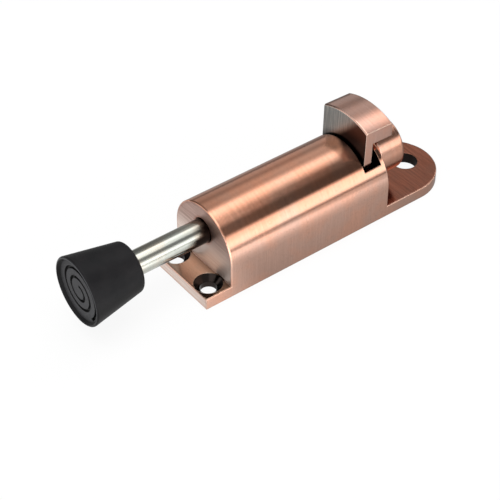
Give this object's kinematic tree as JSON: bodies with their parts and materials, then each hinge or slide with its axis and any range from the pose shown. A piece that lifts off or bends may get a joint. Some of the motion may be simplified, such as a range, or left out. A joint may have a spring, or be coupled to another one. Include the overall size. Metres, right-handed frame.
{
  "type": "spring door stop",
  "caption": "Foot-operated plunger door stop: half-round housing on a base plate, steel rod, rubber tip, step knob and release lever.",
  "frame": {"origin": "on the flat mounting face, under the housing's front face, in the plane of symmetry", "axes": "+X along the plunger from the rubber tip to the round end of the base plate, +Z out of the mounting face, +Y across"},
  "size_m": [0.169, 0.035, 0.0439],
  "materials": {
    "copper_casting": "brushed antique copper plating",
    "bright_steel": "satin nickel",
    "spring_steel": "drawn wire",
    "black_rubber": "moulded, matt",
    "black_plastic": "moulded"
  },
  "bodies": {
    "housing": {"housing": "copper_casting", "front_bush": "black_plastic", "rear_bush": "black_plastic", "return_spring": "spring_steel", "lever_spring": "spring_steel"},
    "plunger": {"plunger_rod": "bright_steel", "rubber_tip": "black_rubber", "step_knob": "copper_casting", "spring_washer": "bright_steel", "retaining_ring": "spring_steel"},
    "lever": {"release_lever": "copper_casting"}
  },
  "joints": [
    {"name": "plunger_slide", "type": "slide", "parent": "housing", "child": "plunger", "axis": [1, 0, 0], "range_m": [0, 0.028], "deforming": ["return_spring"]},
    {"name": "lever_hinge", "type": "hinge", "parent": "housing", "child": "lever", "pos_m": [0.06905, 0, 0.00497], "axis": [0, -1, 0], "range_deg": [0, 1.9], "stiffness_Nm_per_rad": 0.6, "springref_deg": -8.59}
  ]
}
